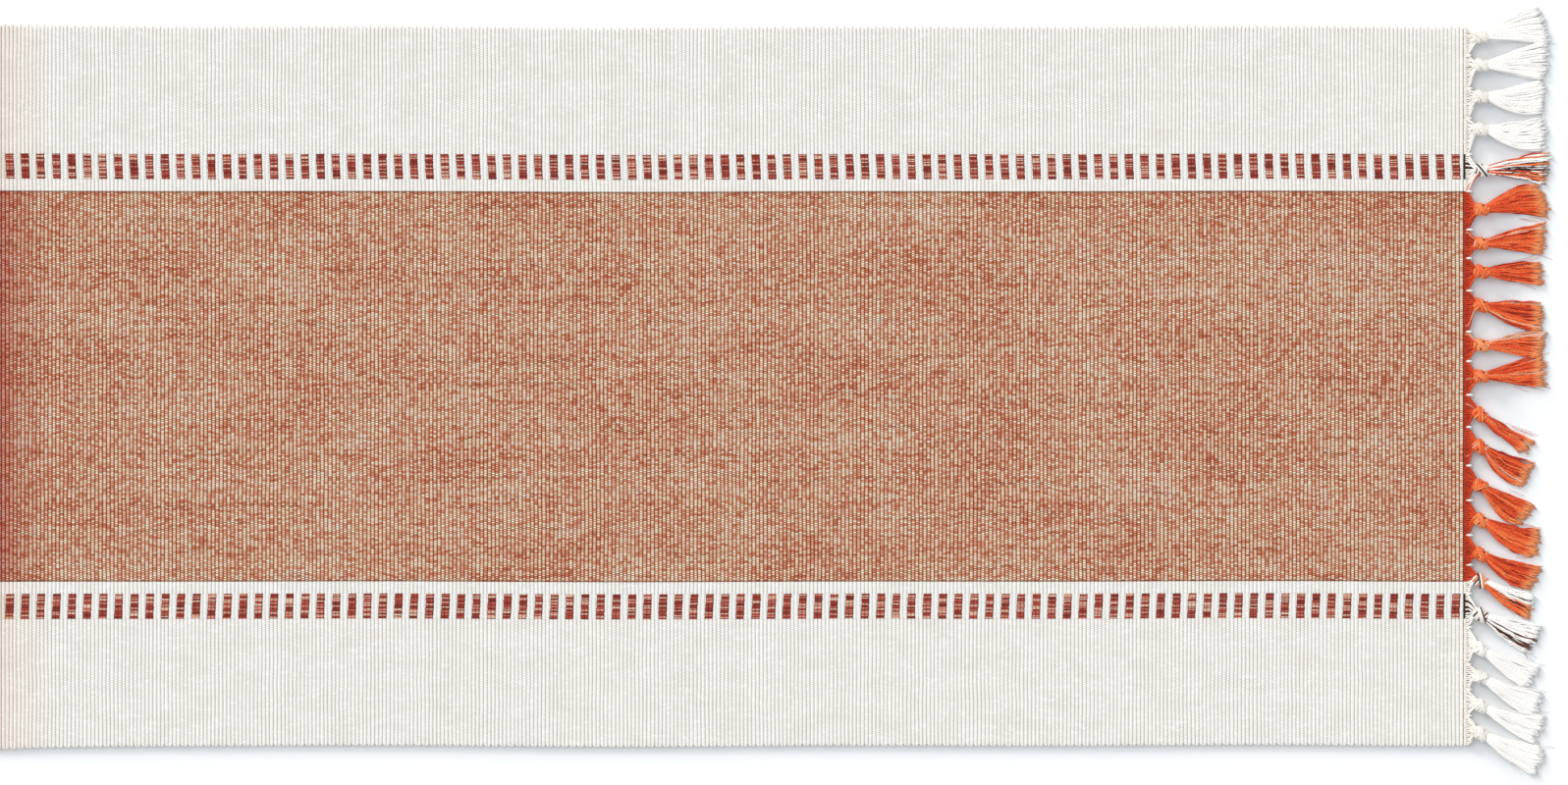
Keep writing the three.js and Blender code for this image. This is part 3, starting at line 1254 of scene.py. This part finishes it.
            # The heading pick gets a dark tone: painted shade in the crease where the web leaves the cloth.
            self.winder.wind(Strand(line, radius, kind, 0.0 if kind is Yarn.ORANGE else 0.12, 8))
        reach = rng.uniform(7.0, 8.4) * MM
        aside = low + rng.uniform(-0.4, 0.4) * MM
        line = np.array([
            [edge + 2.4 * MM, low, 1.9 * MM], [edge + reach * 0.62, aside, 3.0 * MM],
            [edge + reach * 0.85, low, 2.6 * MM], [edge + reach, low, 1.5 * MM],
        ])
        line[:, 0] *= self.end.value
        if abs(low) < SELVEDGE - MM:
            self.winder.wind(Strand(line, np.array([0.7, 1.15, 1.0, 0.4]) * MM, Yarn.WHITE, 0.45, 7))

    def lay_web(self, places: np.ndarray, drawn: Drawn) -> None:
        """Gathers the warp ends from the woven end into the throat, in two layers.

        Args:
            places: Where each end leaves the cloth.
            drawn: Each end's yarn and tone.
        """
        rng, count, out = self.rng, len(places), self.end.value
        t = np.linspace(0, 1, 9)[:, None]
        bunch = rng.uniform(0.0, 1.0, count // 3 + 1)
        for layer in (0, 1):
            for k, y in enumerate(places):
                yarn, tone = drawn[k]
                tone = 0.45 * tone + 0.55 * float(bunch[k // 3])
                across = ((k + 0.5) / count * 2 - 1) * out
                aside = self.pivot.y - y
                start = np.array([(self.loom.half_length + 1.3 * MM) * out, y, (0.9 + 0.7 * layer) * MM])
                straight = (self.web_straight - 1.7 * MM) * out
                leave = start + np.array([straight, aside * 0.05, (0.1 + 0.75 * layer) * MM])
                lead = leave + np.array([1.9 * MM * out, aside * 0.10, 0])
                pile = rng.uniform(-1, 1)
                before, into = self.to_world(np.array([
                    [0.4, across * 4.2, 3.1 + 1.3 * pile + 1.0 * layer],
                    [4.4, across * 2.0, 4.5 + 2.0 * pile + 0.8 * layer],
                ]) * MM)
                curve = (1 - t) ** 3 * leave + 3 * (1 - t) ** 2 * t * lead
                curve = curve + 3 * (1 - t) * t ** 2 * before + t ** 3 * into
                line = np.concatenate([start[None, :], (start + leave)[None, :] / 2, curve])
                s = np.linspace(0, 1, len(line))
                line[:, 1] += 0.7 * MM * wander(rng, len(s), 4) * np.sin(np.pi * s)
                line[:, 2] += (0.3 + 0.9 * layer + 0.5 * rng.uniform(-1, 1) * layer) * MM * np.sin(np.pi * s)
                radius = self.web_radius * (0.92 + 0.14 * rng.random()) * (1 - 0.12 * s)
                # Painted shade on the web: the lower layer gets a dark tone as shade under the upper one, and
                # the upper layer's tone starts dark at the woven end and lightens toward the throat.
                depth = np.full_like(s, 0.34 if yarn is Yarn.WHITE else 0.0)
                if layer:
                    depth = (0.32 + 0.62 * s ** 1.2) * (0.10 + 0.95 * tone)
                self.winder.wind(Strand(line, radius, yarn, depth, 6))
        if self.mingle is Mingle.MIXED:
            self.carry_yarn()

    def carry_yarn(self) -> None:
        """Leads one orange yarn from the corner of the field up to the knot beside it."""
        side, out = -self.end.value, self.end.value
        corner_y = (FIELD_EDGE + MM) * (1 if self.number == 5 else -1)
        corner = np.array([(self.loom.half_length + 3.0 * MM) * out, corner_y, 2.6 * MM])
        first, second = self.to_world(np.array([[1.0, side * 4.2, 5.2], [5.0, side * 3.0, 7.2]]) * MM)
        t = np.linspace(0, 1, 9)[:, None]
        line = (1 - t) ** 2 * corner + 2 * (1 - t) * t * first + t ** 2 * second
        for shift in (0.0, 1.1 * MM):
            beside = line + np.array([shift * out, 0.0, -shift * 0.4])
            self.winder.wind(Strand(beside, np.full(9, self.carried_radius), Yarn.ORANGE, 0.85, 6))

    def tie_knot(self, drawn: Drawn) -> None:
        """Ties the overhand knot: a core, a collar on each side and a crossing band over them.

        Args:
            drawn: The yarns of this knot.
        """
        rng, whole = self.rng, self.knot_length
        middle = self.knot_height / 2 + 0.1 * MM
        t = np.linspace(0, 1, 9)
        core = np.stack([0.4 * MM + t * (whole - 0.8 * MM), 0 * t, np.full_like(t, middle)], -1)
        main = max(set(y for y, _ in drawn), key=lambda y: sum(1 for d, _ in drawn if d is y))
        thick = self.knot_width / 2 - 1.9 * MM
        self.winder.wind(Strand(self.to_world(core), thick * self.lump(core[:, 0]), main, 0.0, 10, flat=0.76))
        hand = -1 if rng.random() < 0.85 else 1
        tilt = rng.uniform(0.85, 1.15)
        ends = -0.62 * math.pi, 1.62 * math.pi
        phi = np.linspace(*ends, 24)
        tuck = 0.72 + 0.28 * np.clip(np.minimum(phi - ends[0], ends[1] - phi) / 0.7, 0, 1)
        laid = 0
        for centre, lean, wraps, gauge, size, lift in (
            (0.25, -0.30 * tilt, 4, 1.62, 0.92, 0.0), (0.79, -0.50 * tilt, 3, 1.70, 0.90, 0.0),
            (0.52, 0.74 * tilt, 3, 1.85, 1.08, 0.8),
        ):
            for j in range(wraps):
                at = centre * whole + (j - (wraps - 1) / 2) * gauge * MM + 0.2 * MM * rng.uniform(-1, 1)
                out = np.full(len(phi), at)
                for _ in range(4):
                    girth = self.lump(out) * tuck * size
                    side = (self.knot_width / 2 - 0.8 * MM) * girth * np.cos(phi)
                    out = 0.5 * out + 0.5 * (at + side * math.tan(lean) * hand)
                rise = (self.knot_height / 2 - 0.8 * MM) * girth * np.sin(phi)
                up = np.maximum(middle + rise + lift * MM * np.clip(np.sin(phi), 0, 1), 0.85 * MM)
                turn = laid if self.mingle is not Mingle.PLAIN else int(rng.integers(len(drawn)))
                yarn, tone = drawn[turn % len(drawn)]
                laid += 1
                # White knot wraps get a low, beige tone as painted shade under the loops; orange wraps are
                # paler than the tail.
                low, gain = {Yarn.ORANGE: (0.84, 0.42), Yarn.WHITE: (0.18, 0.36)}.get(yarn, (0.0, 1.0))
                thin = self.dark_knot_share if yarn is Yarn.DARK else 1.0
                radius = np.full(len(phi), rng.uniform(0.74, 0.88) * MM * thin)
                line = self.to_world(np.stack([out, side, up], -1))
                self.winder.wind(Strand(line, radius, yarn, low + gain * tone, 7))

    def lump(self, out: np.ndarray) -> np.ndarray:
        """How thick the knot is at each place along it, as a share of its full thickness."""
        return np.sqrt(np.clip(1 - np.abs(out / self.knot_length * 2 - 1) ** 2.4, 0.12, 1.0))

    def comb_tail(self, drawn: Drawn) -> None:
        """Lays out the loose tail, with frayed ends and a few stray hairs.

        Args:
            drawn: The yarns of this tail, from one side to the other.
        """
        rng, steps, clumps = self.rng, self.steps, self.clumps
        count = max(36, min(62, round(self.tail_width / MM * 2.05)))
        calm = 0.55 if self.mingle is Mingle.PLAIN and drawn[0][0] is Yarn.WHITE else 1.0
        root = self.knot_length - 1.4 * MM
        t = np.linspace(0, 1, steps)
        middle = self.knot_height / 2
        bend = self.bow * np.sin(np.pi * t * 0.92) * rng.uniform(0.8, 1.2)
        slant = rng.uniform(-0.06, 0.06)
        waves = [wander(rng, steps, 3) for _ in range(clumps)]
        lengths = rng.uniform(-0.035, 0.03, clumps)
        spread = 1 - (1 - t) ** self.shape.value
        half = self.waist_width / 2 + (self.tail_width - self.waist_width) / 2 * spread
        settle = smooth(t * 1.6)
        for k in range(count):
            yarn, tone = drawn[int((k + 0.5) / count * len(drawn))]
            tone = float(np.clip(tone + rng.uniform(-0.32, 0.32), 0, 1))
            layer = 2 if yarn is Yarn.DARK or k % 5 == 0 else (k * 2) % 3
            # Painted shade and light on the tail: strands in the lower layers get a darker tone and the top
            # layer a lighter one; white tails skip this.
            shaded_by_layer = min(1.0, max(0.0, tone + (-0.56, -0.28, 0.10)[layer]))
            tone = 0.42 + 0.5 * tone if yarn is Yarn.WHITE else shaded_by_layer
            clump = k * clumps // count
            across = (k + 0.5) / count * 2 - 1 + rng.uniform(-0.07, 0.07)
            across *= self.end.value * (1.0, 0.97, 0.84)[layer]
            ragged = rng.uniform(-0.05, 0.025) + lengths[clump] - 0.022 * layer
            reach = self.tail_length * (1 + ragged + slant * across - 0.05 * abs(across) ** 3)
            own = 0.85 * calm * MM * wander(rng, steps, 6) * np.clip(t * 3, 0, 1)
            side = half * across + bend + 0.95 * calm * MM * waves[clump] * t ** 0.7 + own
            high = middle + math.sqrt(max(0.0, 1 - min(1.0, abs(across)) ** 2)) * (layer - 1) * 2.0 * MM
            rest = (0.76 + 1.30 * layer * (1 - 0.66 * t ** 1.5)) * MM
            up = high * (1 - settle) + rest * settle + 0.32 * MM * wander(rng, steps, 5) * t
            line = np.stack([root + t * (reach + 1.4 * MM), side, np.maximum(up, self.yarn_rest)], -1)
            thick = self.yarn_radius * rng.uniform(0.86, 1.12) * (1.22 - 0.22 * calm)
            thick *= self.dark_tail_share if yarn is Yarn.DARK else 1.0
            radius = thick * (1 + 0.06 * wander(rng, steps, 6))
            radius[-1] *= 0.8
            placed = self.to_world(line)
            self.winder.wind(Strand(placed, radius, yarn, tone, 6, 0.0, 1.0))
            self.fray(placed, yarn, tone)
        for _ in range(int(rng.integers(2, 5))):
            self.stray_hair(drawn)

    def fray(self, line: np.ndarray, yarn: Yarn, tone: float) -> None:
        """Opens the cut end of a strand into fine fibres.

        Args:
            line: The line that the strand follows.
            yarn: What it is made of.
            tone: Its depth of colour.
        """
        end, way, rng = line[-1], line[-1] - line[-3], self.rng
        way = way / (np.linalg.norm(way) + 1e-12)
        side = np.array([-way[1], way[0], 0.0])
        for _ in range(3):
            length = rng.uniform(1.2, 3.6) * MM
            lean = rng.uniform(-0.45, 0.45)
            start = end - way * 0.9 * MM + side * rng.uniform(-0.5, 0.5) * MM
            stop = start + (way + side * lean) * length
            points = np.stack([start, (start + stop) / 2 + side * lean * 0.25 * MM, stop])
            drop = np.array([start[2], (start[2] + 0.7 * MM) / 2 + 0.15 * MM, rng.uniform(0.35, 1.6) * MM])
            points[:, 2] = np.maximum(drop, 0.4 * MM)
            radius = np.array(self.fray_radii)
            self.winder.wind(Strand(points, radius, yarn, min(1.0, tone + 0.25), 4, 0.9, 1.0))

    def stray_hair(self, drawn: Drawn) -> None:
        """Adds one thin loose fibre that leaves the side of the tail.

        Args:
            drawn: The yarns of this tail.
        """
        rng, t = self.rng, np.linspace(0, 1, 9)
        yarn, tone = drawn[int(rng.integers(len(drawn)))]
        side = 1 if rng.random() < 0.5 else -1
        start = rng.uniform(0.35, 0.75) * self.tail_length + self.knot_length
        length = rng.uniform(10, 22) * MM
        across = side * (self.tail_width * 0.42 + (2.0 + 4.0 * rng.random()) * MM * t ** 1.4)
        line = np.stack([start + t * length, across, 0.4 * MM + 1.6 * MM * (1 - t) ** 2], -1)
        self.winder.wind(Strand(self.to_world(line), np.full(9, self.hair_radius), yarn, tone, 4, 0.6, 1.0))


@dataclass
class Fringe:
    """The knotted fringe of one end; the tables run from the far tassel to the near one."""

    loom: Loom
    end: End
    gathers_mm: tuple[float, ...] = (
        23.5, 27.5, 25, 30, 31, 32, 24, 27, 34, 25, 28, 27, 32, 29, 29, 25, 24, 28, 31, 21, 22, 25,
    )
    tip_widths_mm: tuple[float, ...] = (
        33, 35, 28, 28, 28, 30, 27, 22, 26, 24, 27, 15, 24, 25, 24, 23, 22, 28, 25, 25, 27, 26,
    )
    tail_lengths_mm: tuple[float, ...] = (
        48, 48, 45, 46.5, 49, 46.5, 46, 44, 45, 45.5, 46.5, 43, 40, 40, 46, 45, 42, 44.5, 44, 48, 48, 49,
    )
    bows_mm: tuple[float, ...] = (
        1.5, 0.5, -3.5, -4.0, 0.5, 2.4, 1.4, -0.5, -1.4, 0.8, -0.8,
        -1.0, -2.6, -2.0, -3.2, -3.0, -1.6, -1.4, -1.0, -1.5, -2.0, -1.8,
    )
    sheaves: tuple[int, ...] = (2, 3, 7, 8, 12, 13, 14, 15)
    mingles: dict[int, Mingle] = field(
        default_factory=lambda: {4: Mingle.MIXED, 16: Mingle.PARTED, 17: Mingle.STREAKED}
    )
    tassels: list[Tassel] = field(default_factory=list)

    def build(self, yarns: list[bpy.types.Material]) -> None:
        """Makes the twenty-two tassels of this end.

        Args:
            yarns: The fringe materials, in the order of Yarn.
        """
        edge = sum(self.gathers_mm) / 2 * MM
        for place, width in enumerate(self.gathers_mm):
            high, low = edge, edge - width * MM
            edge = low
            number = place + 1
            if self.end is End.LEFT:
                number, low, high = len(self.gathers_mm) - place, -high, -low
            tassel = Tassel(
                self.loom, self.end, number, TailShape.SHEAF if place in self.sheaves else TailShape.FAN,
                self.tail_lengths_mm[place] * MM, self.tip_widths_mm[place] * MM, self.bows_mm[place] * MM,
                self.mingles.get(place, Mingle.PLAIN), (low, high),
            )
            tassel.build(yarns)
            self.tassels.append(tassel)


# The studio


@dataclass
class Studio:
    """A plain pale floor, soft light from the far left, and a camera straight above."""

    floor_reach: float = 240.0
    view_width: float = 1.309
    view_middle: tuple[float, float] = (0.653, -0.005)
    lens: float = 200.0
    sensor: float = 36.0
    lamp_tint: Colour = (1.0, 0.985, 0.96)
    sky_tint: Colour = (0.91, 0.955, 1.0)
    sky_strength: float = 0.66

    def add(self, name: str, data: bpy.types.ID) -> bpy.types.Object:
        """Adds an object to the scene.

        Args:
            name: Its name.
            data: Its mesh, light or camera.

        Returns:
            The new object.
        """
        item = bpy.data.objects.new(name, data)
        bpy.context.scene.collection.objects.link(item)
        return item

    def lay_floor(self) -> None:
        """Lays the floor under the rug."""
        reach = self.floor_reach
        mesh = bpy.data.meshes.new("floor")
        corners = [(x * reach, y * reach, 0) for x, y in ((-1, -1), (1, -1), (1, 1), (-1, 1))]
        mesh.from_pydata(corners, [], [(0, 1, 2, 3)])
        bench = NodeBench("pale floor", 0.9, 0.0)
        cloud = bench.noise(bench.node("TexCoord", {}, "Object"), 3.0)
        mesh.materials.append(bench.finish(bench.mix(cloud * 0.3, (0.93, 0.935, 0.94), (0.90, 0.905, 0.91))))
        self.add("floor", mesh)

    def hang_lights(self) -> None:
        """Soft light from the far left: high on the rug, low on the floor, a little more on the fringe."""
        rug = [o for o in bpy.data.objects if o.name.endswith(("_cloth", "_yarn"))]
        fringe = [o for o in rug if o.name.endswith("_yarn")]
        floor = [bpy.data.objects["floor"]]
        for name, strength, width, toward, lit in (
            ("key", 1.95, 42, (-0.42, 0.46, 0.80), rug),
            ("lift", 0.24, 50, (-0.22, 0.26, 0.92), fringe),
            ("low", 1.25, 44, (-0.60, 0.64, 0.56), floor),
            ("skim", 4.4, 19, (-0.64, 0.72, 0.200), floor),
        ):
            light = bpy.data.lights.new(name, "SUN")
            light.energy = strength
            light.angle = math.radians(width)
            light.color = self.lamp_tint
            lamp = self.add(name, light)
            lamp.rotation_euler = Vector(toward).to_track_quat("Z", "Y").to_euler()
            reach = bpy.data.collections.new(f"{name} reach")
            for piece in lit:
                reach.objects.link(piece)
            lamp.light_linking.receiver_collection = reach
        world = bpy.data.worlds.new("studio")
        world.use_nodes = True
        back = world.node_tree.nodes["Background"]
        back.inputs["Color"].default_value = (*self.sky_tint, 1.0)
        back.inputs["Strength"].default_value = self.sky_strength
        bpy.context.scene.world = world

    def place_camera(self) -> None:
        """Hangs the camera above the rug's right half, looking straight down."""
        camera = bpy.data.cameras.new("camera")
        camera.lens = self.lens
        camera.sensor_width = self.sensor
        camera.clip_start, camera.clip_end = 0.1, 2000.0
        rig = self.add("camera", camera)
        rig.location = (*self.view_middle, self.view_width * self.lens / self.sensor)
        bpy.context.scene.camera = rig

    def build(self) -> None:
        """Sets up floor, light and camera."""
        self.lay_floor()
        self.hang_lights()
        self.place_camera()
        bpy.context.scene.view_settings.view_transform = "Standard"


def main() -> None:
    """Builds the rug and the studio around it, and notes the sizes."""
    logging.basicConfig(level=logging.INFO, format="%(name)s: %(message)s")
    cloth = WovenCloth()
    cloth.build()
    yarns = [finish.make() for finish in (WHITE_YARN, ORANGE_YARN, DARK_YARN, SALMON_YARN)]
    fringes = [Fringe(cloth.loom, end) for end in End]
    for fringe in fringes:
        fringe.build(yarns)
    Studio().build()


if __name__ == "__main__":
    main()
